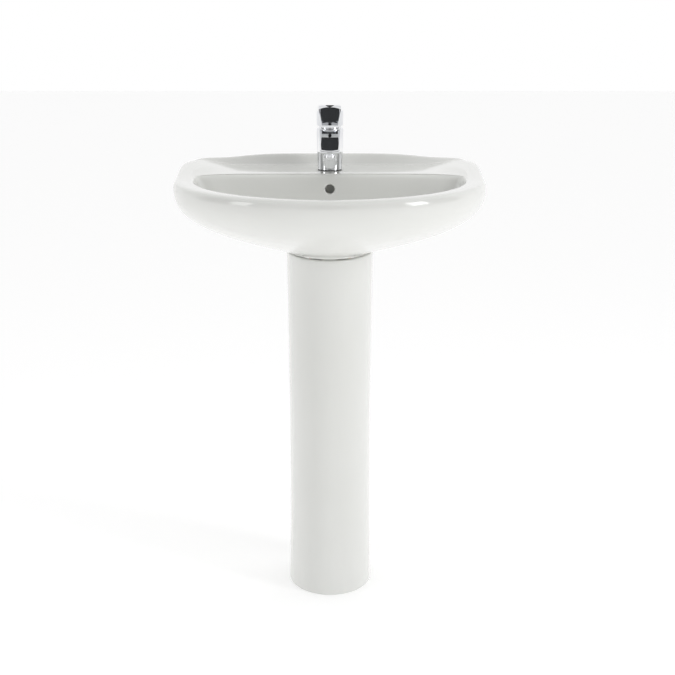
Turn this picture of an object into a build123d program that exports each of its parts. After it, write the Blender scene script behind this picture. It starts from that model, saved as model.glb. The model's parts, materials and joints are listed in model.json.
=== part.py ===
"""Pedestal sink with single-lever mixer, click waste and bottle trap (millimetres, +Z up).

Frame: origin on the floor in the middle of the pedestal's foot.  +X is to the user's right,
-Y is the front of the sink and the wall plane is at Y = WALL.
"""
from build123d import *
import math
import os

os.makedirs("parts", exist_ok=True)

# ---------------------------------------------------------------- driving dimensions
WIDTH = 601.0            # basin, side to side
DEPTH = 475.0            # basin, wall to front rim
RIM_Z = 820.0            # rim and tap ledge above the floor
CROWN = 20.0             # raised rear upstand above the ledge
WALL = 201.0             # wall plane, from the middle of the foot

PED_TOP = 678.0          # pedestal height
PED_GAP = 3.0            # joint between pedestal and basin
PED_FRONT = 306.0        # pedestal front, from the wall
PED_REAR = 96.0          # pedestal rear, from the wall
PED_WALL = 12.0          # pedestal wall thickness
PED_WAIST = 80.0         # half width at the waist
FOOT_HALF = 82.6         # half width at the foot
HEAD_HALF = 84.6         # half width at the top
FOOT_HOLE_X = 44.0       # floor screw holes, half spacing
FOOT_HOLE_D = 122.0      # floor screw holes, from the wall
FOOT_HOLE_R = 4.5

TAP_D = 92.0             # tap hole centre, from the wall
TAP_HOLE_R = 17.5
LEDGE_T = 14.0           # ledge thickness at the tap hole
OVERFLOW_Z = 790.0
OVERFLOW_R = 9.3
DRAIN_D = 240.0          # waste hole centre, from the wall
DRAIN_R = 22.5
SEAT_Z = 694.5           # recessed seat of the waste flange
BOSS_Z = 660.0           # underside of the waste boss
BOLT_X = 140.0           # wall bolts, half spacing
BOLT_Z = 770.0
BOLT_R = 5.0             # wall end of the stud
THREAD_R = 4.6           # basin end of the stud

BODY_BASE_R = 24.4       # mixer column at the ledge
BODY_TOP_R = 26.6        # mixer column at the top
BODY_H = 83.0            # mixer column height above the ledge
SPOUT_REACH = 106.0      # spout tip, forward of the column axis
NOZZLE_F = 90.0          # aerator axis, forward of the column axis
PIVOT_Z = RIM_Z + BODY_H
DOME_R = 22.0
LEVER_REACH = 81.0       # lever tip, forward of the column axis
LEVER_TIP_Z = 138.0      # lever tip above the ledge

WASTE_R = 20.95          # G 1 1/4 waste tail
TRAP_OUT_Z = 545.0
PIPE_R = 16.0

# Basin sections: height, half width, front, rear, middle (all from the wall), rear squareness,
# side taper, share of the crown, share of the corner rise.
SHELL_SECTIONS = [
    (681.0, 86.0, 307.0, 94.0, 190.0, 3.0, 0, 0, 0),
    (685.0, 93.0, 313.0, 84.0, 192.0, 3.0, 0, 0, 0),
    (690.0, 110.0, 325.0, 66.0, 196.0, 3.0, 0, 0, 0),
    (697.0, 138.0, 344.0, 44.0, 200.0, 3.5, 1, 0, 0),
    (706.0, 171.0, 367.0, 24.0, 205.0, 4.5, 2, 0, 0),
    (717.0, 205.0, 391.0, 7.0, 210.0, 6.0, 3, 0, 0),
    (729.0, 235.0, 413.0, -3.0, 215.0, 7.0, 4, 0, 0),
    (742.0, 259.0, 433.0, -3.0, 219.0, 7.0, 4, 0, 0),
    (757.0, 279.0, 450.0, -3.0, 222.0, 7.0, 4, 0, 0),
    (773.0, 292.0, 463.0, -3.0, 224.0, 7.0, 4, 0, 0),
    (789.0, 298.5, 472.0, -3.0, 225.0, 7.5, 3, 0, 0.4),
    (803.0, WIDTH / 2, DEPTH, -3.0, 225.0, 8.0, 1, 0, 0.9),
    (812.0, 300.0, 473.5, -3.0, 225.0, 8.0, 1, 0.5, 1),
]
RIM_SECTIONS = [
    (818.0, 296.5, 469.0, -1.0, 225.0, 8.0, 1, 0.93, 1),
    (820.0, 289.5, 463.5, 4.0, 225.0, 8.0, 2, 1, 1),
    (820.3, 281.5, 459.5, 10.0, 225.0, 7.5, 4, 1, 1),
    (820.0, 276.5, 457.5, 16.5, 225.0, 7.0, 5, 1, 1),
    (820.0, 273.5, 456.8, 23.0, 225.0, 7.0, 6, 1, 1),
    (820.0, 271.0, 456.3, 32.0, 225.0, 7.0, 6, 1, 1),
    (820.0, 268.5, 455.9, 80.0, 220.0, 5.0, 3, 1, 1),
    (820.0, 266.0, 455.5, 138.0, 216.0, 4.5, 0, 0, 0),
]
BOWL_SECTIONS = [
    (818.3, 262.8, 452.5, 143.5, 215.0, 4.5, 0, 0, 0),
    (812.0, 259.5, 449.5, 148.0, 215.0, 4.5, 0, 0, 0),
    (800.0, 254.5, 444.5, 151.5, 215.0, 4.3, 0, 0, 0),
    (780.0, 244.0, 434.0, 156.0, 217.0, 4.0, 0, 0, 0),
    (760.0, 229.0, 418.0, 161.5, 220.0, 3.6, 0, 0, 0),
    (741.0, 206.0, 396.0, 169.0, 224.0, 3.2, 0, 0, 0),
    (724.0, 172.0, 366.0, 180.0, 228.0, 2.8, 0, 0, 0),
    (712.0, 132.0, 334.0, 192.0, 232.0, 2.5, 0, 0, 0),
    (704.0, 90.0, 304.0, 203.0, 236.0, 2.2, 0, 0, 0),
    (699.0, 52.0, 284.0, 207.0, 239.0, 2.0, 0, 0, 0),
    (697.0, 35.0, 275.0, 205.0, 240.0, 2.0, 0, 0, 0),
]
# Underside of the bowl: height, half width, front, rear, middle, rear squareness.
BOWL_BACK_SECTIONS = [
    (686.0, 33.0, 273.0, 207.0, 240.0, 2.0),
    (688.0, 53.0, 285.0, 206.0, 239.0, 2.0),
    (693.0, 91.5, 306.0, 201.0, 236.0, 2.2),
    (701.5, 135.0, 337.0, 188.0, 232.0, 2.5),
    (714.5, 177.5, 371.5, 173.0, 228.0, 2.8),
    (733.0, 213.5, 403.5, 160.5, 224.0, 3.2),
    (753.5, 238.0, 427.5, 151.5, 220.0, 3.6),
    (776.0, 254.5, 444.5, 145.5, 217.0, 4.0),
    (798.5, 265.5, 455.5, 140.5, 215.0, 4.3),
    (812.0, 270.5, 460.5, 137.0, 215.0, 4.5),
]


# ---------------------------------------------------------------- small helpers
def y_of(d):
    """Y coordinate of a point at distance d from the wall."""
    return WALL - d


def smooth(v):
    """Smooth step from 0 to 1."""
    v = min(1.0, max(0.0, v))
    return v * v * (3 - 2 * v)


def tube(r_out, r_in, z0, z1, x=0.0, y=0.0):
    """Upright ring, or a cylinder when r_in is 0."""
    body = Pos(x, y, (z0 + z1) / 2) * Cylinder(r_out, z1 - z0)
    if r_in > 0:
        body -= Pos(x, y, (z0 + z1) / 2) * Cylinder(r_in, z1 - z0 + 2)
    return body


def tube_y(r_out, r_in, d0, d1, x, z):
    """Ring or cylinder along Y between distances d0 and d1 from the wall."""
    place = Pos(x, y_of((d0 + d1) / 2), z) * Rot(90, 0, 0)
    body = place * Cylinder(r_out, abs(d1 - d0))
    if r_in > 0:
        body -= place * Cylinder(r_in, abs(d1 - d0) + 2)
    return body


def block(x0, x1, y0, y1, z0, z1):
    """Box between two corners."""
    return Pos((x0 + x1) / 2, (y0 + y1) / 2, (z0 + z1) / 2) * Box(x1 - x0, y1 - y0, z1 - z0)


def hexagon(across, z0, z1, x=0.0, y=0.0):
    """Upright hexagonal bar."""
    profile = Pos(x, y, z0) * RegularPolygon(across / math.sqrt(3), 6)
    return extrude(profile, z1 - z0)


def turned(points, x, y):
    """Solid of revolution about the vertical line through (x, y); points are (radius, z)."""
    profile = Plane.XZ * make_face(Polyline(*points, close=True))
    return Pos(x, y, 0) * revolve(profile, Axis.Z)


def crown_height(x, d):
    """Height of the rear upstand over the ledge."""
    fade = 1 / (1 + (abs(x) / 222) ** 5)
    return CROWN * fade * smooth((27 - d) / 15)


def corner_rise(x, d):
    """Gentle rise of the rim towards the two rear corners."""
    return 9 * smooth((235 - d) / 215) * smooth((abs(x) - 180) / 90)


def plan_ring(z, half, front, rear, mid, power, taper=0.0, crown=0.0, rise=0.0, count=64):
    """Closed horizontal section: elliptic front, squarer rear, lifted by the crown and the rise."""
    points = []
    for i in range(count):
        t = 2 * math.pi * i / count
        ct, st = math.cos(t), math.sin(t)
        n = 2.0 if st >= 0 else power
        r = (abs(ct) ** n + abs(st) ** n) ** (-1 / n)
        d = mid + r * st * ((front - mid) if st >= 0 else (mid - rear))
        width = half - taper * max(0.0, (mid - d) / mid) ** 2.2 if st < 0 else half
        x = r * ct * width
        top = crown_height(x, d)
        lift = crown * top + rise * corner_rise(x, d) * (1 - top / CROWN)
        points.append((x, y_of(d), z + lift))
    return Wire([Edge.make_spline([Vector(*p) for p in points], periodic=True)])


def refine(sections, steps):
    """Smooth intermediate sections (Catmull-Rom) between the given ones."""
    rows = []
    last = len(sections) - 1
    for i in range(last):
        quad = [sections[max(i - 1, 0)], sections[i], sections[i + 1], sections[min(i + 2, last)]]
        for k in range(steps):
            t = k / steps
            rows.append(tuple(
                0.5 * (2 * b + (c - a) * t + (2 * a - 5 * b + 4 * c - d) * t * t
                       + (3 * b - a - 3 * c + d) * t ** 3)
                for a, b, c, d in zip(*quad)))
    rows.append(tuple(sections[-1]))
    return rows


def loft_rings(sections, steps=1, count=24):
    """Solid through a list of sections, in narrow strips."""
    rings = [plan_ring(*section, count=count) for section in refine(sections, steps)]
    return Solid.make_loft(rings, ruled=True)


# ---------------------------------------------------------------- basin and pedestal
def bowl_back(extra=0.0):
    """Solid bounded by the underside of the bowl, pushed towards the wall by extra."""
    rows = [(z - 0.6 * extra, a, f, r - extra, m, p) for z, a, f, r, m, p in BOWL_BACK_SECTIONS]
    return loft_rings(rows)


def overflow_ridge(half, depth, z_low):
    """Rib or duct behind the bowl from the overflow hole down to the waste hole."""
    strip = block(-half, half, y_of(DRAIN_D), y_of(60), z_low, RIM_Z - LEDGE_T - 0.5)
    return bowl_back(depth) & strip


def rear_hollow():
    """Space under the ledge, open to the wall and to the pedestal."""
    z_ledge = RIM_Z - LEDGE_T
    upper = block(-232, 232, y_of(170), y_of(13), 775, z_ledge)
    middle = block(-212, 212, y_of(170), y_of(13), 748, 775)
    lower = block(-175, 175, y_of(118), y_of(-10), BOSS_Z - 20, 748)
    neck = extrude(Pos(0, 0, 675) * Face(plan_ring(0, 72, 293, 108, 190, 3.0, count=24)), 35)
    return upper + middle + lower + neck


def basin():
    """Basin with skirt, bowl, ledge, overflow duct, waste boss and fixing holes."""
    drain_y = y_of(DRAIN_D)
    boss = tube(36, 0, BOSS_Z, 696, 0, drain_y)
    rib_low = block(-24, 24, drain_y, y_of(196), BOSS_Z, 688)
    keep = bowl_back() + boss + rib_low + overflow_ridge(24, 22, BOSS_Z)
    shape = loft_rings(SHELL_SECTIONS + RIM_SECTIONS + BOWL_SECTIONS, 2, 48)
    shape -= rear_hollow() - keep
    shape += boss + rib_low
    duct = overflow_ridge(14, 13, BOSS_Z + 12) - bowl_back()
    duct_low = block(-14, 14, drain_y, y_of(194), BOSS_Z + 10, BOSS_Z + 22)
    shape -= duct + duct_low
    shape -= block(-400, 400, WALL, WALL + 40, 600, 900)
    shape -= tube(32.6, 0, SEAT_Z, SEAT_Z + 12, 0, drain_y)
    shape -= tube(DRAIN_R, 0, BOSS_Z - 5, SEAT_Z + 5, 0, drain_y)
    shape -= tube_y(OVERFLOW_R, 0, DRAIN_D - 20, 138, 0, OVERFLOW_Z)
    shape -= tube(TAP_HOLE_R, 0, RIM_Z - 30, RIM_Z + 20, 0, y_of(TAP_D))
    for side in (-1, 1):
        shape -= tube_y(7.5, 0, -10, 30, side * BOLT_X, BOLT_Z)
    return shape


def pedestal_half(z):
    """Half width of the pedestal: slight waist, wider foot and head."""
    foot = (FOOT_HALF - PED_WAIST) * max(0.0, 1 - z / 170) ** 2
    head = (HEAD_HALF - PED_WAIST) * max(0.0, (z - 250) / (PED_TOP - 250)) ** 1.5
    return PED_WAIST + foot + head


def pedestal_ring(z, inset):
    """Section of the pedestal, moved inwards by inset."""
    half = pedestal_half(min(max(z, 0), PED_TOP)) - inset
    front = PED_FRONT - 2.0 + (half + inset - PED_WAIST) * 0.5 - inset
    return plan_ring(z, half, front, PED_REAR + inset, 190, 5.0, count=48)


def pedestal():
    """Hollow column, open at the back, with two floor lugs."""
    levels = [0, 60, 120, 180, 260, 340, 420, 500, 580, 640, PED_TOP]
    outer = Solid.make_loft([pedestal_ring(z, 0) for z in levels])
    inner = Solid.make_loft([pedestal_ring(z, PED_WALL) for z in [-5] + levels[1:-1] + [PED_TOP + 5]])
    shape = outer - inner
    shape -= block(-56, 56, y_of(PED_REAR + 20), y_of(PED_REAR - 10), -5, PED_TOP + 5)
    for side in (-1, 1):
        x0, x1 = sorted((side * 30, side * 76))
        lug = block(x0, x1, y_of(140), y_of(PED_REAR + 6), 0, 14) & outer
        shape += lug
        shape -= tube(FOOT_HOLE_R, 0, -5, 20, side * FOOT_HOLE_X, y_of(FOOT_HOLE_D))
    return shape


def pedestal_pads():
    """Three soft pads between pedestal and basin."""
    top = PED_TOP + PED_GAP
    front = block(-14, 14, y_of(302.5), y_of(296.5), PED_TOP, top)
    sides = [block(s * 78 - 3, s * 78 + 3, y_of(200), y_of(172), PED_TOP, top) for s in (-1, 1)]
    return Compound(children=[front] + sides)


# ---------------------------------------------------------------- wall fixings
def both_sides(maker):
    """Two separate copies of a piece at the wall bolt positions."""
    return Compound(children=[maker(-BOLT_X), maker(BOLT_X)])


def hanger_bolts():
    """Studs through the rear of the basin, with a tapered thread behind the wall plane."""
    def stud(x):
        shank = tube_y(BOLT_R, 0, -40, -1, x, BOLT_Z) + tube_y(THREAD_R, 0, -1, 44, x, BOLT_Z)
        place = Pos(x, y_of(-50), BOLT_Z) * Rot(90, 0, 0)
        return shank + place * Cone(2.0, BOLT_R, 20, align=(Align.CENTER, Align.CENTER, Align.CENTER))
    return both_sides(stud)


def fixing_sleeves():
    """Flanged plastic bushes in the ceramic holes."""
    def sleeve(x):
        return tube_y(7.3, THREAD_R, 1, 13, x, BOLT_Z) + tube_y(12, THREAD_R, 13, 15, x, BOLT_Z)
    return both_sides(sleeve)


def fixing_washers():
    """Steel washers of the wall bolts."""
    return both_sides(lambda x: tube_y(11, THREAD_R, 15, 17, x, BOLT_Z))


def fixing_nuts():
    """Hexagon nuts of the wall bolts."""
    def nut(x):
        bar = extrude(RegularPolygon(17 / math.sqrt(3), 6), 8)
        bar = Pos(x, y_of(17), BOLT_Z) * Rot(90, 0, 0) * bar
        return bar - tube_y(THREAD_R, 0, 10, 30, x, BOLT_Z)
    return both_sides(nut)


# ---------------------------------------------------------------- mixer
def at_tap(f, z):
    """Point (y, z) forward f of the mixer axis and z above the ledge."""
    return (y_of(TAP_D) - f, RIM_Z + z)


def side_prism(points, half):
    """Side-view outline, given as (forward, height above ledge), extruded across X."""
    wire = Polyline(*[at_tap(f, z) for f, z in points], close=True)
    face = Plane.YZ * make_face(wire)
    return Pos(-half, 0, 0) * extrude(face, 2 * half, dir=(1, 0, 0))


def plan_prism(half_root, half_tip, f_root, f_tip, bulge, z0, z1):
    """Tapered tongue in plan view with an arched tip, extruded upwards."""
    y0, y1 = y_of(TAP_D) - f_root, y_of(TAP_D) - f_tip + bulge
    tip = ThreePointArc((half_tip, y1), (0, y1 - bulge), (-half_tip, y1))
    sides = [Line((-half_tip, y1), (-half_root, y0)), Line((-half_root, y0), (half_root, y0)),
             Line((half_root, y0), (half_tip, y1))]
    return Pos(0, 0, RIM_Z + z0) * extrude(make_face([tip] + sides), z1 - z0)


def round_edges(shape, edges, radius):
    """Fillet the edges, stepping the radius down until it fits."""
    for size in (radius, radius * 0.7, radius * 0.45):
        try:
            result = fillet(edges, size)
            if result.is_valid:
                return result
        except Exception:
            continue
    return shape


def spout():
    """Sloping spout blended out of the column."""
    side = [(0, 34), (24, 36), (78, 44.5), (SPOUT_REACH, 45.5), (SPOUT_REACH, 51.5), (27, 81), (0, 82.4)]
    tongue = plan_prism(24.5, 19.5, 0, SPOUT_REACH, 5, 20, 95)
    shape = side_prism(side, 40) & tongue
    y_mid = y_of(TAP_D) - 12
    long_edges = [e for e in shape.edges() if e.center().Y < y_mid]
    return round_edges(shape, long_edges, 4.5)


def faucet_body():
    """Brass column with spout, cartridge bore and threaded bores underneath."""
    y = y_of(TAP_D)
    column = turned([(0, RIM_Z + 2), (BODY_BASE_R, RIM_Z + 2), (BODY_BASE_R + 0.1, RIM_Z + 6),
                     (BODY_TOP_R, RIM_Z + BODY_H - 1.2), (BODY_TOP_R - 1.2, RIM_Z + BODY_H),
                     (0, RIM_Z + BODY_H)], 0, y)
    shape = column + spout()
    shape -= tube(18.5, 0, RIM_Z + 36, RIM_Z + BODY_H + 5, 0, y)
    shape -= tube(17.5, 0, RIM_Z - 5, RIM_Z + 8, 0, y)
    shape -= tube(4, 0, RIM_Z + 5, RIM_Z + 22, 0, y - 10)
    for side in (-1, 1):
        shape -= tube(5, 0, RIM_Z + 5, RIM_Z + 24, side * 9, y + 3)
    nozzle_y = y - NOZZLE_F
    shape -= tube(11.5, 0, RIM_Z + 40, RIM_Z + 49, 0, nozzle_y)
    return shape


def base_seal():
    """Rubber ring under the mixer base."""
    return tube(BODY_BASE_R - 0.6, TAP_HOLE_R, RIM_Z, RIM_Z + 2, 0, y_of(TAP_D))


def aerator_housing():
    """Chromed threaded ring of the aerator."""
    y = y_of(TAP_D) - NOZZLE_F
    skirt = tube(13.6, 10.4, RIM_Z + 32, RIM_Z + 43.5, 0, y)
    thread = tube(11.5, 9.6, RIM_Z + 43.5, RIM_Z + 48.5, 0, y)
    flats = [Pos(0, y, RIM_Z + 35) * Rot(0, 0, 90 * i) * (Pos(13.6, 0, 0) * Box(1.6, 9, 5)) for i in range(4)]
    return skirt + thread - flats


def aerator_insert():
    """Plastic stream former with a grid of openings."""
    y = y_of(TAP_D) - NOZZLE_F
    disc = tube(10.4, 0, RIM_Z + 33.5, RIM_Z + 43, 0, y)
    for ring, count in ((3.0, 6), (6.2, 12)):
        for i in range(count):
            a = 2 * math.pi * i / count
            disc -= tube(1.05, 0, RIM_Z + 32, RIM_Z + 38, ring * math.cos(a), y + ring * math.sin(a))
    return disc


def cartridge_body():
    """Ceramic disc cartridge in the column."""
    y = y_of(TAP_D)
    shape = tube(18.4, 0, RIM_Z + 36, RIM_Z + 72, 0, y)
    return shape - tube(12, 0, RIM_Z + 66, RIM_Z + 75, 0, y)


def cartridge_nut():
    """Slotted brass ring that clamps the cartridge."""
    y = y_of(TAP_D)
    shape = tube(18.4, 12, RIM_Z + 72, RIM_Z + 81, 0, y)
    for i in range(3):
        shape -= Pos(0, y, RIM_Z + 80) * Rot(0, 0, 60 * i + 30) * Box(45, 5, 4)
    return shape


def cartridge_dome():
    """Chromed spherical cover over the cartridge."""
    centre = Pos(0, y_of(TAP_D), PIVOT_Z)
    shell = centre * Sphere(DOME_R) - centre * Sphere(DOME_R - 1.6)
    shell &= tube(30, 0, PIVOT_Z, PIVOT_Z + 15, 0, y_of(TAP_D))
    return shell + tube(DOME_R, 18.6, PIVOT_Z, PIVOT_Z + 1.2, 0, y_of(TAP_D))


def cartridge_rotor():
    """Turning carrier of the stem, slotted for the tilt."""
    y = y_of(TAP_D)
    shape = tube(11.95, 0, RIM_Z + 66.1, RIM_Z + 88, 0, y)
    shape -= block(-4.65, 4.65, y - 10, y + 10, RIM_Z + 71, RIM_Z + 90)
    pin = Pos(0, y, PIVOT_Z) * Rot(0, 90, 0) * Cylinder(2.05, 30)
    return shape - pin


def cartridge_stem():
    """Square stem that tilts in the rotor and carries the handle."""
    y = y_of(TAP_D)
    shape = block(-4.5, 4.5, y - 4.5, y + 4.5, PIVOT_Z - 5, PIVOT_Z + 29)
    shape += Pos(0, y, PIVOT_Z) * Rot(0, 90, 0) * Cylinder(5.5, 9)
    return shape - Pos(0, y, PIVOT_Z) * Rot(0, 90, 0) * Cylinder(2, 30)


def stem_pin():
    """Cross pin of the stem."""
    return Pos(0, y_of(TAP_D), PIVOT_Z) * Rot(0, 90, 0) * Cylinder(2, 22)


def handle_outline():
    """Side view of cap and lever in one piece."""
    under = [at_tap(f, z) for f, z in ((-BODY_TOP_R, 95), (BODY_TOP_R, 86.5), (BODY_TOP_R, 91),
                                       (31, 96.5), (38, 101.5), (LEVER_REACH, 133.5))]
    top = [at_tap(f, z) for f, z in ((LEVER_REACH - 1, LEVER_TIP_Z - 0.6), (55, 129.5), (25, 120.5),
                                     (0, 117), (-17, 112.5), (-BODY_TOP_R, 103))]
    lower = Polyline(*under)
    upper = Spline(*top)
    joins = [Line(under[-1], top[0]), Line(top[-1], under[0])]
    face = Plane.YZ * make_face([lower, upper] + joins)
    return Pos(-40, 0, 0) * extrude(face, 80, dir=(1, 0, 0))


def lever_handle():
    """Cap with an upswept lever, hollow over the dome, with a square socket."""
    y = y_of(TAP_D)
    plan = tube(BODY_TOP_R, 0, RIM_Z + 80, RIM_Z + 150, 0, y)
    plan += plan_prism(14.5, 22.0, 15, LEVER_REACH, 7, 80, 150)
    shape = handle_outline() & plan
    upper = [e for e in shape.edges() if e.center().Z > RIM_Z + 104]
    shape = round_edges(shape, upper, 2.2)
    shape -= Pos(0, y, PIVOT_Z) * Sphere(DOME_R + 1)
    shape += block(-7, 7, y - 7, y + 7, PIVOT_Z + 20, PIVOT_Z + 26)
    shape -= block(-4.55, 4.55, y - 4.55, y + 4.55, PIVOT_Z + 10, PIVOT_Z + 29.5)
    return shape - screw_axis(2.5, -2, 40) - screw_axis(3.5, 18.6, 40)


def screw_axis(radius, start, end):
    """Cylinder along the inclined set-screw line, measured from the stem outwards."""
    tilt = math.atan2(9, 21)
    y, z = at_tap(6, 103.5)
    place = Pos(0, y, z) * Rot(90 + math.degrees(tilt), 0, 0)
    return place * Pos(0, 0, (start + end) / 2) * Cylinder(radius, end - start)


def handle_screw():
    """Set screw that clamps the handle on the stem."""
    return screw_axis(2.5, -0.5, 6.8) - screw_axis(1.25, 3.8, 8)


def index_plug():
    """Cover plug of the set-screw hole."""
    return screw_axis(3.5, 18.6, 21.4)


def mounting_stud():
    """Threaded stud under the mixer."""
    return tube(4, 0, RIM_Z - 58, RIM_Z + 20, 0, y_of(TAP_D) - 10)


def horseshoe(r_out, z0, z1):
    """Crescent plate that leaves the supply tubes free."""
    y = y_of(TAP_D)
    plate = tube(r_out, 0, z0, z1, 0, y) - block(-15.5, 15.5, y - 3.5, y + 40, z0 - 1, z1 + 1)
    return plate - tube(4, 0, z0 - 1, z1 + 1, 0, y - 10)


def horseshoe_gasket():
    """Rubber crescent under the ledge."""
    return horseshoe(24, RIM_Z - LEDGE_T - 3, RIM_Z - LEDGE_T)


def horseshoe_washer():
    """Steel crescent under the rubber."""
    return horseshoe(23, RIM_Z - LEDGE_T - 5.5, RIM_Z - LEDGE_T - 3)


def mounting_nut():
    """Long hexagon nut of the mounting stud."""
    y = y_of(TAP_D) - 10
    top = RIM_Z - LEDGE_T - 5.5
    return hexagon(12, top - 14, top, 0, y) - tube(4, 0, top - 20, top + 2, 0, y)


def tail_path(side):
    """Centre line of a supply tail: straight down, splayed outwards, straight down again."""
    y = y_of(TAP_D) + 3
    x0, x1 = side * 9, side * 38
    upper = Line((x0, y, RIM_Z + 22), (x0, y, RIM_Z - 50))
    bend = Spline((x0, y, RIM_Z - 50), (x1, y + 8, RIM_Z - 190),
                  tangents=[(0, 0, -1), (0, 0, -1)], tangent_scalars=[1.4, 1.4])
    lower = Line((x1, y + 8, RIM_Z - 190), (x1, y + 8, RIM_Z - 252.5))
    return Wire([upper.edge(), bend.edge(), lower.edge()])


def supply_tails():
    """Hot and cold copper tails of the mixer."""
    tails = []
    for side in (-1, 1):
        path = tail_path(side)
        start = Plane(origin=path @ 0, z_dir=path % 0)
        profile = Face(Wire(start * Edge.make_circle(5)), [Wire(start * Edge.make_circle(4))])
        tails.append(sweep(profile, path))
    return Compound(children=[t.solids()[0] for t in tails])


def tail_nuts():
    """Union nuts near the lower ends of the tails."""
    z = RIM_Z - 262
    y = y_of(TAP_D) + 11
    nuts = []
    for side in (-1, 1):
        x = side * 38
        nuts.append(hexagon(19, z, z + 14, x, y) - tube(5, 0, z - 1, z + 20, x, y)
                    - tube(7.6, 0, z - 1, z + 9, x, y))
    return Compound(children=nuts)


# ---------------------------------------------------------------- waste
def waste_flange():
    """Chromed waste body: flange, threaded tail and overflow slots."""
    y = y_of(DRAIN_D)
    shape = turned([(18, SEAT_Z - 62), (WASTE_R, SEAT_Z - 62), (WASTE_R, SEAT_Z + 1.5),
                    (31.8, SEAT_Z + 1.5), (31.8, SEAT_Z + 2.6), (29.5, SEAT_Z + 4.2),
                    (25, SEAT_Z + 4.2), (21.5, SEAT_Z + 1.5), (18, SEAT_Z - 3)], 0, y)
    for i in range(2):
        shape -= Pos(0, y, BOSS_Z + 16) * Rot(0, 0, 45 + 90 * i) * Box(60, 12, 10)
    return shape


def waste_top_gasket():
    """Flat seal under the flange."""
    return tube(31.0, WASTE_R, SEAT_Z, SEAT_Z + 1.5, 0, y_of(DRAIN_D))


def waste_low_gasket():
    """Thick seal under the boss."""
    return tube(30, WASTE_R, BOSS_Z - 4, BOSS_Z, 0, y_of(DRAIN_D))


def waste_washer():
    """Slip washer over the back nut."""
    return tube(29, WASTE_R, BOSS_Z - 5.5, BOSS_Z - 4, 0, y_of(DRAIN_D))


def waste_backnut():
    """Large hexagon nut that clamps the waste."""
    y = y_of(DRAIN_D)
    nut = hexagon(54, BOSS_Z - 15, BOSS_Z - 5.5, 0, y)
    return nut - tube(WASTE_R, 0, BOSS_Z - 20, BOSS_Z, 0, y)


def click_guide():
    """Spider inside the waste that guides the plug."""
    y = y_of(DRAIN_D)
    shape = tube(18, 15.8, SEAT_Z - 22, SEAT_Z - 8, 0, y) + tube(6.5, 0, SEAT_Z - 30, SEAT_Z - 8, 0, y)
    for i in range(3):
        shape += Pos(0, y, SEAT_Z - 15) * Rot(0, 0, 90 + 120 * i) * Pos(11, 0, 0) * Box(11, 3, 12)
    return shape - tube(4.05, 0, SEAT_Z - 27, SEAT_Z, 0, y)


def waste_plug():
    """Domed plug with its stem, modelled closed."""
    y = y_of(DRAIN_D)
    return turned([(0, SEAT_Z - 18), (4, SEAT_Z - 18), (4, SEAT_Z - 4), (12, SEAT_Z - 1.5),
                   (12, SEAT_Z + 0.5), (20.2, SEAT_Z + 3.6), (20.2, SEAT_Z + 4.4),
                   (24.5, SEAT_Z + 4.4), (24.5, SEAT_Z + 5.3), (28.5, SEAT_Z + 5.3),
                   (28.5, SEAT_Z + 6.5), (22, SEAT_Z + 8.6), (12, SEAT_Z + 9.6),
                   (0, SEAT_Z + 10)], 0, y)


def plug_seal():
    """Rubber ring under the plug."""
    return tube(23.2, 20.2, SEAT_Z + 3.1, SEAT_Z + 4.4, 0, y_of(DRAIN_D))


# ---------------------------------------------------------------- trap
def trap_inlet_nut():
    """Union nut between waste and trap."""
    y = y_of(DRAIN_D)
    z = SEAT_Z - 62
    nut = tube(25.5, WASTE_R, z - 4, z + 12, 0, y) + tube(25.5, PIPE_R + 0.3, z - 8, z - 4, 0, y)
    for i in range(10):
        nut += Pos(0, y, z + 2) * Rot(0, 0, 36 * i) * Pos(25.5, 0, 0) * Box(2.4, 5, 20)
    return nut


def trap_inlet_seal():
    """Flat washer inside the inlet nut."""
    return tube(20.6, 15, SEAT_Z - 64, SEAT_Z - 62, 0, y_of(DRAIN_D))


def trap_dip_tube():
    """Adjustable inlet tube that dips into the water seal."""
    y = y_of(DRAIN_D)
    return tube(PIPE_R, 14.6, 488, SEAT_Z - 66, 0, y) + tube(20.6, 14.6, SEAT_Z - 66, SEAT_Z - 64, 0, y)


def trap_top_nut():
    """Compression nut on top of the trap body."""
    y = y_of(DRAIN_D)
    nut = tube(24, 21.5, 572, 584, 0, y) + tube(24, PIPE_R + 0.3, 584, 590, 0, y)
    for i in range(10):
        nut += Pos(0, y, 581) * Rot(0, 0, 36 * i) * Pos(24, 0, 0) * Box(2.4, 5, 17)
    return nut


def trap_top_seal():
    """Conical seal around the dip tube."""
    return turned([(PIPE_R, 578), (18.2, 578), (21, 584), (PIPE_R, 584)], 0, y_of(DRAIN_D))


def trap_body():
    """Bottle of the trap with its side outlet."""
    y = y_of(DRAIN_D)
    shape = tube(27, 0, 478, 566, 0, y) + tube(21.5, 0, 560, 578, 0, y)
    shape += tube_y(19.5, 0, DRAIN_D - 46, DRAIN_D, 0, TRAP_OUT_Z)
    shape -= tube(24.6, 0, 470, 563, 0, y)
    shape -= tube(PIPE_R + 0.4, 0, 560, 580, 0, y)
    return shape - tube_y(15.5, 0, DRAIN_D - 50, DRAIN_D, 0, TRAP_OUT_Z)


def trap_cup():
    """Screw-on cup at the bottom of the trap."""
    y = y_of(DRAIN_D)
    shape = turned([(0, 432), (16, 432), (26, 437), (30, 447), (30, 486), (27, 486), (27, 476),
                    (24.5, 476), (24.5, 450), (20, 440), (0, 436)], 0, y)
    for i in range(12):
        shape += Pos(0, y, 472) * Rot(0, 0, 30 * i) * Pos(30, 0, 0) * Box(2, 4.5, 26)
    return shape


def cup_seal():
    """Seal between cup and bottle."""
    return tube(27, 24.6, 476, 478, 0, y_of(DRAIN_D))


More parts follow.
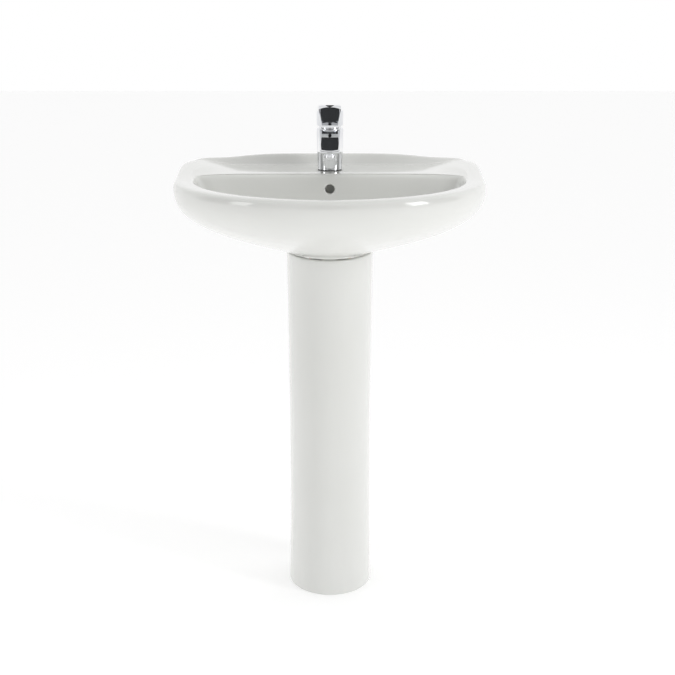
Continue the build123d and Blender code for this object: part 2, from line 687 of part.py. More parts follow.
def trap_outlet_nut():
    """Compression nut of the outlet pipe."""
    d = DRAIN_D - 46
    nut = tube_y(23, 19.5, d, d + 12, 0, TRAP_OUT_Z) + tube_y(23, PIPE_R + 0.2, d - 7, d, 0, TRAP_OUT_Z)
    for i in range(10):
        place = Pos(0, y_of(d + 2.5), TRAP_OUT_Z) * Rot(0, 36 * i, 0) * Pos(23, 0, 0)
        nut += place * Box(2.4, 18, 5)
    return nut


def outlet_pipe():
    """Waste pipe from the trap into the wall."""
    pipe = tube_y(PIPE_R - 0.5, 13.8, -45, DRAIN_D - 28, 0, TRAP_OUT_Z)
    return pipe + tube_y(PIPE_R, 13.8, -45, -2, 0, TRAP_OUT_Z)


def wall_rosette():
    """Chromed cover plate where the pipe enters the wall."""
    plate = tube_y(36, 0, 0, 3, 0, TRAP_OUT_Z)
    place = Pos(0, y_of(7), TRAP_OUT_Z) * Rot(90, 0, 0)
    plate += place * Cone(34, 20, 8)
    hollow = Pos(0, y_of(5.2), TRAP_OUT_Z) * Rot(90, 0, 0) * Cone(33, 19, 8.4)
    return plate - hollow - tube_y(PIPE_R, 0, -5, 20, 0, TRAP_OUT_Z)


PARTS = {
    "basin": basin,
    "pedestal": pedestal,
    "pedestal_pads": pedestal_pads,
    "hanger_bolts": hanger_bolts,
    "fixing_sleeves": fixing_sleeves,
    "fixing_washers": fixing_washers,
    "fixing_nuts": fixing_nuts,
    "faucet_body": faucet_body,
    "base_seal": base_seal,
    "aerator_housing": aerator_housing,
    "aerator_insert": aerator_insert,
    "cartridge_body": cartridge_body,
    "cartridge_nut": cartridge_nut,
    "cartridge_dome": cartridge_dome,
    "cartridge_rotor": cartridge_rotor,
    "cartridge_stem": cartridge_stem,
    "stem_pin": stem_pin,
    "lever_handle": lever_handle,
    "handle_screw": handle_screw,
    "index_plug": index_plug,
    "mounting_stud": mounting_stud,
    "horseshoe_gasket": horseshoe_gasket,
    "horseshoe_washer": horseshoe_washer,
    "mounting_nut": mounting_nut,
    "supply_tails": supply_tails,
    "tail_nuts": tail_nuts,
    "waste_flange": waste_flange,
    "waste_top_gasket": waste_top_gasket,
    "waste_low_gasket": waste_low_gasket,
    "waste_washer": waste_washer,
    "waste_backnut": waste_backnut,
    "click_guide": click_guide,
    "waste_plug": waste_plug,
    "plug_seal": plug_seal,
    "trap_inlet_nut": trap_inlet_nut,
    "trap_inlet_seal": trap_inlet_seal,
    "trap_dip_tube": trap_dip_tube,
    "trap_top_nut": trap_top_nut,
    "trap_top_seal": trap_top_seal,
    "trap_body": trap_body,
    "trap_cup": trap_cup,
    "cup_seal": cup_seal,
    "trap_outlet_nut": trap_outlet_nut,
    "outlet_pipe": outlet_pipe,
    "wall_rosette": wall_rosette,
}

for name, maker in PARTS.items():
    export_step(maker(), f"parts/{name}.step")
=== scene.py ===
import json
import math

import bmesh
import bpy
import numpy as np
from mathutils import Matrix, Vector


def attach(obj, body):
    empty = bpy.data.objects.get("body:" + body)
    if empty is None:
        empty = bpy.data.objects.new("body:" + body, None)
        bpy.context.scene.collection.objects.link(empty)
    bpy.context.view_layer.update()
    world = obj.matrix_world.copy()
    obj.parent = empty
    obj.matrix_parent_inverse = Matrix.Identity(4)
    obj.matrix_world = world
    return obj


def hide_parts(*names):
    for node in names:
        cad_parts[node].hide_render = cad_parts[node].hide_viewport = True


# Pedestal sink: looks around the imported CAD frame.  Helpers work in millimetres, like the CAD,
# and make_object turns them into metres.  The front faces -Y and +Z is up.
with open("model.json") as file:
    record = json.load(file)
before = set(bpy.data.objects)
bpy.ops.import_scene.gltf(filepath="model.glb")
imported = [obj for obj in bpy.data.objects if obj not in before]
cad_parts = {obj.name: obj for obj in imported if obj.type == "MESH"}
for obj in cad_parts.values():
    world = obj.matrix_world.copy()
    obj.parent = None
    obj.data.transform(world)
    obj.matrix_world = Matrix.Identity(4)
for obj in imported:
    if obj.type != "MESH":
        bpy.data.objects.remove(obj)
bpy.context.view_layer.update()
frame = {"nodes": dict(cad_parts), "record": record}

# ---------------------------------------------------------------- dimensions (millimetres)
MM = 0.001
WALL = 201.0             # wall plane, from the middle of the foot
WIDTH, DEPTH = 601.0, 475.0
RIM_Z, CROWN = 820.0, 20.0
LEDGE_T = 14.0
CROWN_HALF, CROWN_EDGE, CROWN_RAMP = 222.0, 27.0, 15.0
CORNER_RISE = 9.0        # rise of the rim at the two rear corners
PED_TOP = 678.0
PED_FRONT, PED_REAR = 306.0, 96.0
PED_WALL, PED_WAIST = 12.0, 80.0
FOOT_HALF, HEAD_HALF = 82.6, 84.6
FOOT_TOP, HEAD_LOW = 170.0, 250.0    # heights where the foot's and the head's widening end
SLOT_HALF = 56.0         # half width of the slot in the back of the pedestal
TAP_D, TAP_HOLE_R = 92.0, 17.5
OVERFLOW_Z, OVERFLOW_R = 790.0, 9.3
DRAIN_D, DRAIN_R, SEAT_Z, BOSS_Z = 240.0, 22.5, 694.5, 660.0
BOSS_R, RIB_HALF = 36.0, 24.0
BOLT_X, BOLT_Z, BOLT_HOLE_R = 140.0, 770.0, 7.5
FLOOR_HOLE_X, FLOOR_HOLE_D, FLOOR_HOLE_R = 44.0, 122.0, 4.5
EDGE_EASE = 3.2          # rounding of the pedestal's top and foot
BASIN_COUNT = 480        # points round one basin section
BOWL_START = 21          # index of the first section inside the bowl

# Basin sections: height, half width, front, rear, middle (all from the wall), rear squareness,
# side taper, share of the crown, share of the corner rise, steps to the next section.
SHELL = [
    (681.0, 86.0, 307.0, 94.0, 190.0, 3.0, 0, 0, 0, 3),
    (685.0, 93.0, 313.0, 84.0, 192.0, 3.0, 0, 0, 0, 3),
    (690.0, 110.0, 325.0, 66.0, 196.0, 3.0, 0, 0, 0, 3),
    (697.0, 138.0, 344.0, 44.0, 200.0, 3.5, 1, 0, 0, 4),
    (706.0, 171.0, 367.0, 24.0, 205.0, 4.5, 2, 0, 0, 4),
    (717.0, 205.0, 391.0, 7.0, 210.0, 6.0, 3, 0, 0, 4),
    (729.0, 235.0, 413.0, -3.0, 215.0, 7.0, 4, 0, 0, 4),
    (742.0, 259.0, 433.0, -3.0, 219.0, 7.0, 4, 0, 0, 4),
    (757.0, 279.0, 450.0, -3.0, 222.0, 7.0, 4, 0, 0, 4),
    (773.0, 292.0, 463.0, -3.0, 224.0, 7.0, 4, 0, 0, 4),
    (789.0, 298.5, 472.0, -3.0, 225.0, 7.5, 3, 0, 0.4, 4),
    (803.0, WIDTH / 2, DEPTH, -3.0, 225.0, 8.0, 1, 0, 0.9, 4),
    (812.0, 300.0, 473.5, -3.0, 225.0, 8.0, 1, 0.5, 1, 4),
    (818.0, 296.5, 469.0, -1.0, 225.0, 8.0, 1, 0.93, 1, 5),
    (820.0, 289.5, 463.5, 4.0, 225.0, 8.0, 2, 1, 1, 5),
    (820.3, 281.5, 459.5, 10.0, 225.0, 7.5, 4, 1, 1, 5),
    (820.0, 276.5, 457.5, 16.5, 225.0, 7.0, 5, 1, 1, 5),
    (820.0, 273.5, 456.8, 23.0, 225.0, 7.0, 6, 1, 1, 5),
    (820.0, 271.0, 456.3, 32.0, 225.0, 7.0, 6, 1, 1, 5),
    (820.0, 268.5, 455.9, 80.0, 220.0, 5.0, 3, 1, 1, 5),
    (820.0, 266.0, 455.5, 138.0, 216.0, 4.5, 0, 0, 0, 5),
    (818.3, 262.8, 452.5, 143.5, 215.0, 4.5, 0, 0, 0, 6),
    (812.0, 259.5, 449.5, 148.0, 215.0, 4.5, 0, 0, 0, 10),
    (800.0, 254.5, 444.5, 151.5, 215.0, 4.3, 0, 0, 0, 18),
    (780.0, 244.0, 434.0, 156.0, 217.0, 4.0, 0, 0, 0, 6),
    (760.0, 229.0, 418.0, 161.5, 220.0, 3.6, 0, 0, 0, 6),
    (741.0, 206.0, 396.0, 169.0, 224.0, 3.2, 0, 0, 0, 6),
    (724.0, 172.0, 366.0, 180.0, 228.0, 2.8, 0, 0, 0, 6),
    (712.0, 132.0, 334.0, 192.0, 232.0, 2.5, 0, 0, 0, 6),
    (704.0, 90.0, 304.0, 203.0, 236.0, 2.2, 0, 0, 0, 5),
    (699.0, 52.0, 284.0, 207.0, 239.0, 2.0, 0, 0, 0, 4),
    (697.0, 35.0, 275.0, 205.0, 240.0, 2.0, 0, 0, 0, 1),
]
BOWL_BACK = [
    (686.0, 33.0, 273.0, 207.0, 240.0, 2.0),
    (688.0, 53.0, 285.0, 206.0, 239.0, 2.0),
    (693.0, 91.5, 306.0, 201.0, 236.0, 2.2),
    (701.5, 135.0, 337.0, 188.0, 232.0, 2.5),
    (714.5, 177.5, 371.5, 173.0, 228.0, 2.8),
    (733.0, 213.5, 403.5, 160.5, 224.0, 3.2),
    (753.5, 238.0, 427.5, 151.5, 220.0, 3.6),
    (776.0, 254.5, 444.5, 145.5, 217.0, 4.0),
    (798.5, 265.5, 455.5, 140.5, 215.0, 4.3),
    (812.0, 270.5, 460.5, 137.0, 215.0, 4.5),
]


# ---------------------------------------------------------------- mesh helpers
def y_of(d):
    """Y coordinate of a point at distance d from the wall."""
    return WALL - d


def smooth(v):
    """Smooth step from 0 to 1."""
    v = np.clip(v, 0.0, 1.0)
    return v * v * (3 - 2 * v)


def make_object(name, verts_mm, faces):
    """Mesh object from points in millimetres."""
    mesh = bpy.data.meshes.new(name)
    mesh.from_pydata([tuple(v) for v in np.asarray(verts_mm) * MM], [], faces)
    mesh.update()
    obj = bpy.data.objects.new(name, mesh)
    bpy.context.scene.collection.objects.link(obj)
    return obj


def stack_rings(name, rings):
    """Skin a list of equally long rings with quads, and close both ends."""
    count = len(rings[0])
    verts = np.concatenate(rings)
    faces = []
    for i in range(len(rings) - 1):
        a, b = i * count, (i + 1) * count
        for k in range(count):
            n = (k + 1) % count
            faces.append((a + k, a + n, b + n, b + k))
    faces.append(tuple(range(count - 1, -1, -1)))
    last = (len(rings) - 1) * count
    faces.append(tuple(range(last, last + count)))
    obj = make_object(name, verts, faces)
    fix_normals(obj)
    return obj


def fix_normals(obj):
    """Turn all faces outwards."""
    bm = bmesh.new()
    bm.from_mesh(obj.data)
    bmesh.ops.recalc_face_normals(bm, faces=bm.faces)
    bm.to_mesh(obj.data)
    bm.free()


def box_object(name, x0, x1, y0, y1, z0, z1, rounding=0.0):
    """Box between two corners, with rounded edges if a rounding is given."""
    bm = bmesh.new()
    bmesh.ops.create_cube(bm, size=1.0)
    for v in bm.verts:
        v.co.x = (x0 if v.co.x < 0 else x1) * MM
        v.co.y = (y0 if v.co.y < 0 else y1) * MM
        v.co.z = (z0 if v.co.z < 0 else z1) * MM
    if rounding:
        bmesh.ops.bevel(bm, geom=list(bm.edges), offset=rounding * MM, segments=5, profile=0.5,
                        affect="EDGES")
    mesh = bpy.data.meshes.new(name)
    bm.to_mesh(mesh)
    bm.free()
    obj = bpy.data.objects.new(name, mesh)
    bpy.context.scene.collection.objects.link(obj)
    return obj


def turned(name, points, x, y, axis="Z", z=0.0, count=96):
    """Solid of revolution; points are (radius, height along the axis) in millimetres."""
    rings = []
    for r, h in points:
        ring = []
        for i in range(count):
            a = 2 * math.pi * i / count
            c, s = r * math.cos(a), r * math.sin(a)
            ring.append((x + c, y + s, z + h) if axis == "Z" else (x + c, y + h, z + s))
        rings.append(np.array(ring))
    return stack_rings(name, rings)


def combine(target, cutter, operation):
    """Boolean with the cutter, which is used up."""
    mod = target.modifiers.new("cut", "BOOLEAN")
    mod.operation = operation
    mod.object = cutter
    mod.solver = "EXACT"
    depsgraph = bpy.context.evaluated_depsgraph_get()
    mesh = bpy.data.meshes.new_from_object(target.evaluated_get(depsgraph))
    target.modifiers.clear()
    old = target.data
    target.data = mesh
    bpy.data.meshes.remove(old)
    spent = cutter.data
    bpy.data.objects.remove(cutter)
    bpy.data.meshes.remove(spent)
    return target


def cut(target, *cutters):
    """Take the cutters away from the target."""
    for cutter in cutters:
        combine(target, cutter, "DIFFERENCE")


def join(target, *others):
    """Add the others to the target."""
    for other in others:
        combine(target, other, "UNION")
    return target


def shade(obj, angle=32.0):
    """Smooth shading, with creases where faces meet at more than the angle."""
    obj.data.shade_smooth()
    obj.data.set_sharp_from_angle(angle=math.radians(angle))


# ---------------------------------------------------------------- basin and pedestal shapes
def crown_height(x, d):
    """Height of the rear upstand over the ledge."""
    fade = 1 / (1 + (np.abs(x) / CROWN_HALF) ** 5)
    return CROWN * fade * smooth((CROWN_EDGE - d) / CROWN_RAMP)


def corner_rise(x, d):
    """Gentle rise of the rim towards the two rear corners."""
    return CORNER_RISE * smooth((235 - d) / 215) * smooth((np.abs(x) - 180) / 90)


def plan_ring(z, half, front, rear, mid, power, taper=0.0, crown=0.0, rise=0.0, angles=None):
    """Closed section: elliptic front, squarer rear, lifted by the crown and the rise."""
    ct, st = np.cos(angles), np.sin(angles)
    n = np.where(st >= 0, 2.0, power)
    r = (np.abs(ct) ** n + np.abs(st) ** n) ** (-1 / n)
    d = mid + r * st * np.where(st >= 0, front - mid, mid - rear)
    width = half - np.where(st < 0, taper * np.maximum(0.0, (mid - d) / mid) ** 2.2, 0.0)
    x = r * ct * width
    top = crown_height(x, d)
    lift = crown * top + rise * corner_rise(x, d) * (1 - top / CROWN)
    return np.stack([x, y_of(d), z + lift], axis=1)


def refine(sections, steps):
    """Smooth intermediate sections (Catmull-Rom) between the given ones."""
    rows = []
    last = len(sections) - 1
    for i in range(last):
        a, b = sections[max(i - 1, 0)], sections[i]
        c, d = sections[i + 1], sections[min(i + 2, last)]
        for k in range(steps[i]):
            t = k / steps[i]
            rows.append([
                0.5 * (2 * q + (r - p) * t + (2 * p - 5 * q + 4 * r - s) * t * t
                       + (3 * q - p - 3 * r + s) * t ** 3)
                for p, q, r, s in zip(a, b, c, d)])
    rows.append(list(sections[-1]))
    return rows


def ring_angles(count, crowding):
    """Angles round a section, closer together in the middle of the rear."""
    u = 2 * np.pi * np.arange(count) / count
    return u - crowding * np.sin(u - 1.5 * np.pi)


def round_overflow(ring, lip=2.6):
    """Ease the bowl wall into the overflow hole."""
    x, y, z = ring.T
    rho = np.hypot(x, z - OVERFLOW_Z)
    inward = np.clip((OVERFLOW_R + lip - rho) / lip, 0.0, 1.0)
    push = lip * (1 - np.sqrt(1 - inward ** 2))
    rear = (y > y_of(200)) & (y < y_of(130))
    return np.stack([x, y + np.where(rear, push, 0.0), z], axis=1)


def bowl_back(name, extra=0.0):
    """Closed form bounded by the underside of the bowl, pushed towards the wall by extra."""
    rows = [(z - 0.6 * extra, a, f, r - extra, m, p) for z, a, f, r, m, p in BOWL_BACK]
    rows = refine(rows, [4] * (len(rows) - 1))
    angles = ring_angles(160, 0.3)
    return stack_rings(name, [plan_ring(*row, angles=angles) for row in rows])


def ridge(name, half, extra, z_low):
    """Rib behind the bowl from the overflow hole down to the waste hole."""
    strip = box_object("strip", -half, half, y_of(DRAIN_D), y_of(60), z_low, RIM_Z - LEDGE_T - 0.5,
                       rounding=min(8.0, half / 2))
    return combine(bowl_back(name, extra), strip, "INTERSECT")


def rear_hollow():
    """Space under the ledge, open to the wall and to the pedestal."""
    z_ledge = RIM_Z - LEDGE_T
    shape = box_object("hollow", -232, 232, y_of(170), y_of(13), 768, z_ledge, 9)
    middle = box_object("middle", -212, 212, y_of(170.5), y_of(13.5), 748, 785, 9)
    lower = box_object("lower", -175, 175, y_of(118), y_of(-30), BOSS_Z - 20, 765, 9)
    angles = ring_angles(96, 0.0)
    neck = stack_rings("neck", [plan_ring(z, 72, 293, 108, 190, 3.0, angles=angles)
                                for z in (675, 710)])
    return join(shape, middle, lower, neck)


def make_basin():
    """Basin with skirt, bowl, ledge, overflow duct, waste boss and fixing holes."""
    y = y_of(DRAIN_D)
    # one copy is left standing when the hollow is cut, the other is joined to the basin
    boss = [turned("boss", [(BOSS_R, BOSS_Z), (BOSS_R, 696)], 0, y) for _ in range(2)]
    ribs = [box_object("rib", -RIB_HALF, RIB_HALF, y, y_of(196), BOSS_Z, 688, 5)
            for _ in range(2)]
    hollow = rear_hollow()
    cut(hollow, bowl_back("back"), boss[0], ribs[0], ridge("ridge", RIB_HALF, 22, BOSS_Z))
    angles = ring_angles(BASIN_COUNT, 0.72)
    rows = refine([s[:9] for s in SHELL], [s[9] for s in SHELL])
    rings = [plan_ring(*row, angles=angles) for row in rows]
    first_bowl = sum(s[9] for s in SHELL[:BOWL_START])
    rings = [round_overflow(r) if i > first_bowl else r for i, r in enumerate(rings)]
    shape = stack_rings("basin_glazed", rings)
    cut(shape, hollow)
    join(shape, boss[1], ribs[1])
    duct = ridge("duct", 14, 13, BOSS_Z + 12)
    cut(duct, bowl_back("back"))
    cut(shape, duct, box_object("duct_low", -14, 14, y, y_of(194), BOSS_Z + 10, BOSS_Z + 22, 3))
    cut(shape, box_object("wall", -400, 400, WALL, WALL + 40, 600, 900))
    recess = [(32.6, SEAT_Z), (32.6, SEAT_Z + 1.4), (32.9, SEAT_Z + 2.1), (33.6, SEAT_Z + 2.8),
              (34.8, SEAT_Z + 3.3), (34.8, SEAT_Z + 12)]
    cut(shape, turned("recess", recess, 0, y))
    cut(shape, turned("drain", [(DRAIN_R, BOSS_Z - 5), (DRAIN_R, SEAT_Z + 5)], 0, y))
    hole = [(OVERFLOW_R, y_of(DRAIN_D - 20)), (OVERFLOW_R, y_of(138))]
    cut(shape, turned("overflow", hole, 0, 0, axis="Y", z=OVERFLOW_Z, count=128))
    tap = [(TAP_HOLE_R, RIM_Z - 30), (TAP_HOLE_R, RIM_Z + 20)]
    cut(shape, turned("tap", tap, 0, y_of(TAP_D)))
    for side in (-1, 1):
        bolt = [(BOLT_HOLE_R, y_of(30)), (BOLT_HOLE_R, y_of(1.2)), (BOLT_HOLE_R + 1.2, y_of(0)),
                (BOLT_HOLE_R + 1.2, y_of(-10))]
        cut(shape, turned("bolt", bolt, side * BOLT_X, 0, axis="Y", z=BOLT_Z, count=48))
    shade(shape)
    return shape


def pedestal_half(z):
    """Half width of the pedestal: slight waist, wider foot and head."""
    z = min(max(z, 0), PED_TOP)
    foot = (FOOT_HALF - PED_WAIST) * max(0.0, 1 - z / FOOT_TOP) ** 2
    head = (HEAD_HALF - PED_WAIST) * max(0.0, (z - HEAD_LOW) / (PED_TOP - HEAD_LOW)) ** 1.5
    return PED_WAIST + foot + head


def pedestal_curve(z, inset, angles):
    """Outer or inner line of the pedestal's section."""
    half = pedestal_half(z)
    front = PED_FRONT - 2.0 + (half - PED_WAIST) * 0.5 - inset
    return plan_ring(z, half - inset, front, PED_REAR + inset, 190, 5.0, angles=angles)


def slot_angle(z, inset, x_edge):
    """Angle at which the section's line meets the edge of the rear slot."""
    lo, hi = 1.5 * np.pi, 2 * np.pi
    for _ in range(40):
        mid = (lo + hi) / 2
        x = pedestal_curve(z, inset, np.array([mid]))[0, 0]
        lo, hi = (mid, hi) if x < x_edge else (lo, mid)
    return lo


def pedestal_section(z, ease):
    """C-shaped section with rounded ends; ease thins the wall towards the top and foot."""
    lines = []
    for inset in (ease, PED_WALL - ease):
        end = slot_angle(z, inset, SLOT_HALF + 5)
        lines.append(pedestal_curve(z, inset, np.linspace(end - 2 * np.pi, 3 * np.pi - end, 120)))
    outer, inner = lines
    ends = []
    for side, (p, q) in ((-1, (outer[-1], inner[-1])), (1, (inner[0], outer[0]))):
        centre, arm = (p + q) / 2, (p - q) / 2
        reach = np.array([-side * (5.0 - 0.3 * ease), 0, 0])
        steps = np.linspace(0, np.pi, 9)[1:-1]
        ends.append([centre + math.cos(a) * arm + math.sin(a) * reach for a in steps])
    return np.concatenate([outer, ends[0], inner[::-1], ends[1]])


def make_pedestal():
    """Hollow column, open at the back, with eased edges and two floor lugs."""
    arc = np.linspace(0, np.pi / 2, 6)
    low = [(EDGE_EASE * (1 - math.cos(a)), EDGE_EASE * (1 - math.sin(a))) for a in arc]
    levels = low + [(z, 0.0) for z in np.linspace(12, PED_TOP - 12, 40)]
    levels += [(PED_TOP - z, ease) for z, ease in reversed(low)]
    shape = stack_rings("pedestal_glazed", [pedestal_section(z, ease) for z, ease in levels])
    angles = ring_angles(200, 0.0)
    for side in (-1, 1):
        x0, x1 = sorted((side * 30, side * 76))
        lug = box_object("lug", x0, x1, y_of(140), y_of(PED_REAR + 6), 0, 14, 3)
        limit = stack_rings("limit", [pedestal_curve(z, 3.0, angles) for z in (-5, 20)])
        join(shape, combine(lug, limit, "INTERSECT"))
        screw = [(FLOOR_HOLE_R, -5), (FLOOR_HOLE_R, 12.6), (FLOOR_HOLE_R + 1.5, 14),
                 (FLOOR_HOLE_R + 1.5, 20)]
        cut(shape, turned("screw", screw, side * FLOOR_HOLE_X, y_of(FLOOR_HOLE_D), count=40))
    shade(shape)
    return shape


# ---------------------------------------------------------------- materials
def node_of(tree, kind, **values):
    """New shader node with its operation or its inputs set by name."""
    node = tree.nodes.new(kind)
    for key, value in values.items():
        if key == "operation":
            node.operation = value
        else:
            node.inputs[key.replace("_", " ")].default_value = value
    return node


def new_material(name):
    """Material with a Principled shader; returns the material, its tree and the shader."""
    mat = bpy.data.materials.new(name)
    mat.use_nodes = True
    tree = mat.node_tree
    return mat, tree, tree.nodes["Principled BSDF"]


def noise(tree, scale, detail=3.0, rough=0.5, stretch=None):
    """Noise in object space, optionally stretched along an axis."""
    coord = tree.nodes.new("ShaderNodeTexCoord")
    source = coord.outputs["Object"]
    if stretch:
        mapping = tree.nodes.new("ShaderNodeMapping")
        mapping.inputs["Scale"].default_value = stretch
        tree.links.new(source, mapping.inputs["Vector"])
        source = mapping.outputs["Vector"]
    tex = node_of(tree, "ShaderNodeTexNoise", Scale=scale, Detail=detail, Roughness=rough)
    tree.links.new(source, tex.inputs["Vector"])
    return tex.outputs["Fac"]


def ranged(tree, value, low, high, frm=(0.3, 0.7)):
    """Map a noise value to a range."""
    node = tree.nodes.new("ShaderNodeMapRange")
    node.inputs["From Min"].default_value, node.inputs["From Max"].default_value = frm
    node.inputs["To Min"].default_value, node.inputs["To Max"].default_value = low, high
    tree.links.new(value, node.inputs["Value"])
    return node.outputs["Result"]


def mixed_colour(tree, fac, dark, light):
    """Blend of two colours by a factor."""
    mix = tree.nodes.new("ShaderNodeMix")
    mix.data_type = "RGBA"
    mix.inputs["A"].default_value = (*dark, 1)
    mix.inputs["B"].default_value = (*light, 1)
    tree.links.new(fac, mix.inputs["Factor"])
    return mix.outputs["Result"]


def bump(tree, shader, height, strength, distance):
    """Bump from a height value."""
    node = node_of(tree, "ShaderNodeBump", Strength=strength, Distance=distance)
    tree.links.new(height, node.inputs["Height"])
    tree.links.new(node.outputs["Normal"], shader.inputs["Normal"])


def surface(name, dark, light, rough, metallic=0.0, colour_scale=6.0, rough_scale=25.0,
            bump_scale=220.0, bump_strength=0.08, bump_distance=0.0004, stretch=None, **sockets):
    """General procedural finish: colour drift, uneven gloss and a fine relief."""
    mat, tree, shader = new_material(name)
    shader.inputs["Metallic"].default_value = metallic
    for key, value in sockets.items():
        shader.inputs[key.replace("_", " ")].default_value = value
    drift = ranged(tree, noise(tree, colour_scale, 4.0), 0.0, 1.0)
    tree.links.new(mixed_colour(tree, drift, dark, light), shader.inputs["Base Color"])
    gloss = ranged(tree, noise(tree, rough_scale, 5.0, 0.6), rough[0], rough[1])
    tree.links.new(gloss, shader.inputs["Roughness"])
    bump(tree, shader, noise(tree, bump_scale, 2.0, stretch=stretch), bump_strength, bump_distance)
    return mat


def glaze():
    """White sanitary glaze: deep gloss, faint waviness and a slightly warm body."""
    mat, tree, shader = new_material("glaze")
    shader.inputs["Coat Weight"].default_value = 0.6
    shader.inputs["Coat Roughness"].default_value = 0.03
    shader.inputs["IOR"].default_value = 1.5
    drift = ranged(tree, noise(tree, 3.0, 3.0), 0.0, 1.0)
    colour = mixed_colour(tree, drift, (0.80, 0.805, 0.775), (0.835, 0.84, 0.815))
    tree.links.new(colour, shader.inputs["Base Color"])
    gloss = ranged(tree, noise(tree, 14.0, 4.0, 0.6), 0.10, 0.19)
    tree.links.new(gloss, shader.inputs["Roughness"])
    bump(tree, shader, noise(tree, 55.0, 2.0), 0.05, 0.0006)
    return mat


MATERIALS = {
    "glazed_china": glaze(),
    "clear_rubber": surface("clear_rubber", (0.45, 0.45, 0.42), (0.56, 0.56, 0.53), (0.35, 0.5)),
    "zinc_steel": surface("zinc_steel", (0.56, 0.57, 0.58), (0.70, 0.71, 0.72), (0.25, 0.42),
                          metallic=1.0, stretch=(1, 1, 12)),
    "white_plastic": surface("white_plastic", (0.80, 0.80, 0.78), (0.86, 0.86, 0.84), (0.30, 0.42)),
    "grey_plastic": surface("grey_plastic", (0.05, 0.05, 0.055), (0.08, 0.08, 0.085), (0.35, 0.5)),
    "index_plastic": surface("index_plastic", (0.015, 0.016, 0.02), (0.03, 0.032, 0.04),
                             (0.12, 0.2)),
    "chrome": surface("chrome", (0.76, 0.77, 0.79), (0.82, 0.83, 0.85), (0.03, 0.07), metallic=1.0,
                      bump_scale=90.0, bump_strength=0.02),
    "brass": surface("brass", (0.62, 0.42, 0.16), (0.74, 0.54, 0.25), (0.22, 0.38), metallic=1.0,
                     stretch=(1, 1, 10)),
    "copper": surface("copper", (0.62, 0.27, 0.14), (0.76, 0.39, 0.24), (0.22, 0.40), metallic=1.0),
    "black_rubber": surface("black_rubber", (0.02, 0.02, 0.02), (0.04, 0.04, 0.04), (0.5, 0.7)),
}


def dress_frame():
    """Give every carried-over CAD piece its finish."""
    for part in frame["record"]["subparts"]:
        obj = frame["nodes"][part["node"]]
        mat = MATERIALS[part["material_slot"]]
        if not obj.material_slots:
            obj.data.materials.append(mat)
        for slot in obj.material_slots:
            slot.material = mat


# ---------------------------------------------------------------- stage, light and camera (metres)
# Brightness of the studio walls by bearing in degrees, the same to the left and right: 0 is behind
# the camera (dark), then come a grey band, a wide dark band and pale walls behind the sink.
WALL_LIGHT = [(0, 0.06), (10, 0.06), (17, 0.42), (42, 0.42),
              (48, 0.03), (92, 0.03), (106, 1.0), (180, 1.0)]
CEILING_LIGHT = 0.95
CEILING_FROM, CEILING_FULL = 0.55, 0.80      # sine of the elevation where the ceiling fades in
FLOOR_HALF_MM, FLOOR_GREY, FLOOR_GLOW = 9000, 0.8, 0.33
LAMP_SIZE, LAMP_TARGET = (0.7, 1.6), (0, 0, 0.6)
FILL_PLACE, FILL_POWER = (-2.3, -1.5, 1.5), 10
KEY_PLACE, KEY_POWER = (2.3, -1.5, 1.6), 22
CAMERA_PLACE, CAMERA_DOWN, CAMERA_LENS = (0.015, -3.514, 1.373), 13.92, 97.7


def look_at(obj, target):
    """Point a light or camera at a target."""
    obj.rotation_euler = (Vector(target) - obj.location).to_track_quat("-Z", "Y").to_euler()


def soft_light(name, place, target, size, power):
    """Rectangular studio lamp."""
    data = bpy.data.lights.new(name, "AREA")
    data.shape = "RECTANGLE"
    data.size, data.size_y = size
    data.energy = power
    lamp = bpy.data.objects.new(name, data)
    bpy.context.scene.collection.objects.link(lamp)
    lamp.location = place
    look_at(lamp, target)


def make_floor():
    """Large pale floor, which gives off some light so that the background reads as white."""
    h = FLOOR_HALF_MM
    floor = make_object("floor", [(-h, -h, 0), (h, -h, 0), (h, h, 0), (-h, h, 0)], [(0, 1, 2, 3)])
    mat, _, shader = new_material("floor_white")
    shader.inputs["Base Color"].default_value = (FLOOR_GREY, FLOOR_GREY, FLOOR_GREY, 1)
    shader.inputs["Roughness"].default_value = 0.8
    shader.inputs["Emission Color"].default_value = (1, 1, 1, 1)
    shader.inputs["Emission Strength"].default_value = FLOOR_GLOW
    floor.data.materials.append(mat)


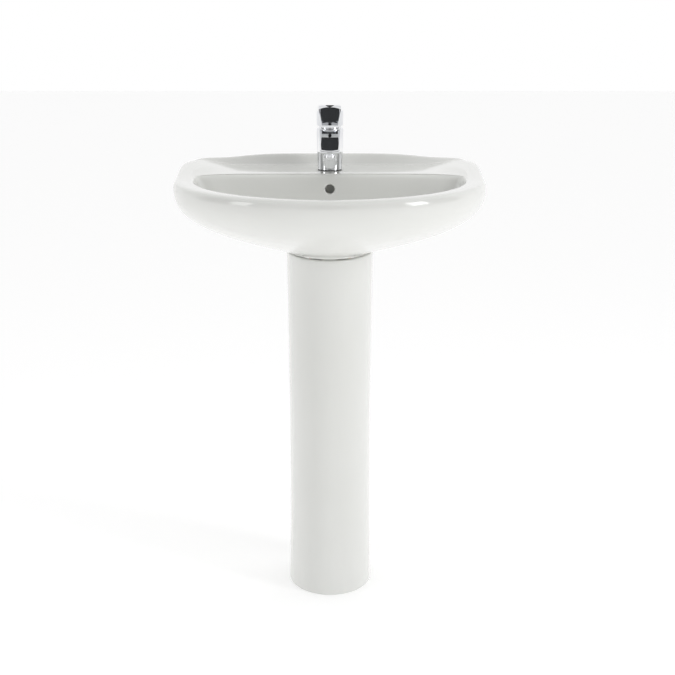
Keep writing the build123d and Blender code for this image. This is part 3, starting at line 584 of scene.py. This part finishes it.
def make_world():
    """Studio surroundings: walls banded by WALL_LIGHT under a white ceiling."""
    world = bpy.data.worlds.new("studio")
    bpy.context.scene.world = world
    world.use_nodes = True
    tree = world.node_tree
    coord = tree.nodes.new("ShaderNodeTexCoord")
    split = tree.nodes.new("ShaderNodeSeparateXYZ")
    tree.links.new(coord.outputs["Generated"], split.inputs["Vector"])
    flip = node_of(tree, "ShaderNodeMath", operation="MULTIPLY")
    flip.inputs[1].default_value = -1.0
    tree.links.new(split.outputs["Y"], flip.inputs[0])
    turn = node_of(tree, "ShaderNodeMath", operation="ARCTAN2")
    tree.links.new(split.outputs["X"], turn.inputs[0])
    tree.links.new(flip.outputs["Value"], turn.inputs[1])
    size = node_of(tree, "ShaderNodeMath", operation="ABSOLUTE")
    tree.links.new(turn.outputs["Value"], size.inputs[0])
    part = node_of(tree, "ShaderNodeMath", operation="DIVIDE")
    part.inputs[1].default_value = math.pi
    tree.links.new(size.outputs["Value"], part.inputs[0])
    walls = tree.nodes.new("ShaderNodeValToRGB")
    while len(walls.color_ramp.elements) > 1:
        walls.color_ramp.elements.remove(walls.color_ramp.elements[-1])
    for i, (degrees, level) in enumerate(WALL_LIGHT):
        ramp = walls.color_ramp.elements
        stop = ramp[0] if i == 0 else ramp.new(degrees / 180)
        stop.position = degrees / 180
        stop.color = (level, level, level, 1)
    tree.links.new(part.outputs["Value"], walls.inputs["Fac"])
    ceiling = tree.nodes.new("ShaderNodeMapRange")
    ceiling.interpolation_type = "SMOOTHSTEP"
    ceiling.inputs["From Min"].default_value = CEILING_FROM
    ceiling.inputs["From Max"].default_value = CEILING_FULL
    tree.links.new(split.outputs["Z"], ceiling.inputs["Value"])
    mix = tree.nodes.new("ShaderNodeMix")
    mix.data_type = "RGBA"
    mix.inputs["B"].default_value = (CEILING_LIGHT, CEILING_LIGHT, CEILING_LIGHT, 1)
    tree.links.new(ceiling.outputs["Result"], mix.inputs["Factor"])
    tree.links.new(walls.outputs["Color"], mix.inputs["A"])
    tree.links.new(mix.outputs["Result"], tree.nodes["Background"].inputs["Color"])
    tree.nodes["Background"].inputs["Strength"].default_value = 1.0


def make_camera():
    """Camera at the height, distance and tilt of a product photograph."""
    data = bpy.data.cameras.new("camera")
    data.lens = CAMERA_LENS
    data.sensor_width = 36.0
    camera = bpy.data.objects.new("camera", data)
    bpy.context.scene.collection.objects.link(camera)
    camera.location = CAMERA_PLACE
    camera.rotation_euler = (math.radians(90 - CAMERA_DOWN), 0, 0)
    bpy.context.scene.camera = camera
    bpy.context.scene.view_settings.view_transform = "Standard"


def main():
    dress_frame()
    for maker, node in ((make_basin, "basin"), (make_pedestal, "pedestal")):
        piece = maker()
        piece.data.materials.append(MATERIALS["glazed_china"])
        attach(piece, "sink")
        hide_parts(node)
    make_floor()
    make_world()
    soft_light("fill", FILL_PLACE, LAMP_TARGET, LAMP_SIZE, FILL_POWER)
    soft_light("key", KEY_PLACE, LAMP_TARGET, LAMP_SIZE, KEY_POWER)
    make_camera()


main()
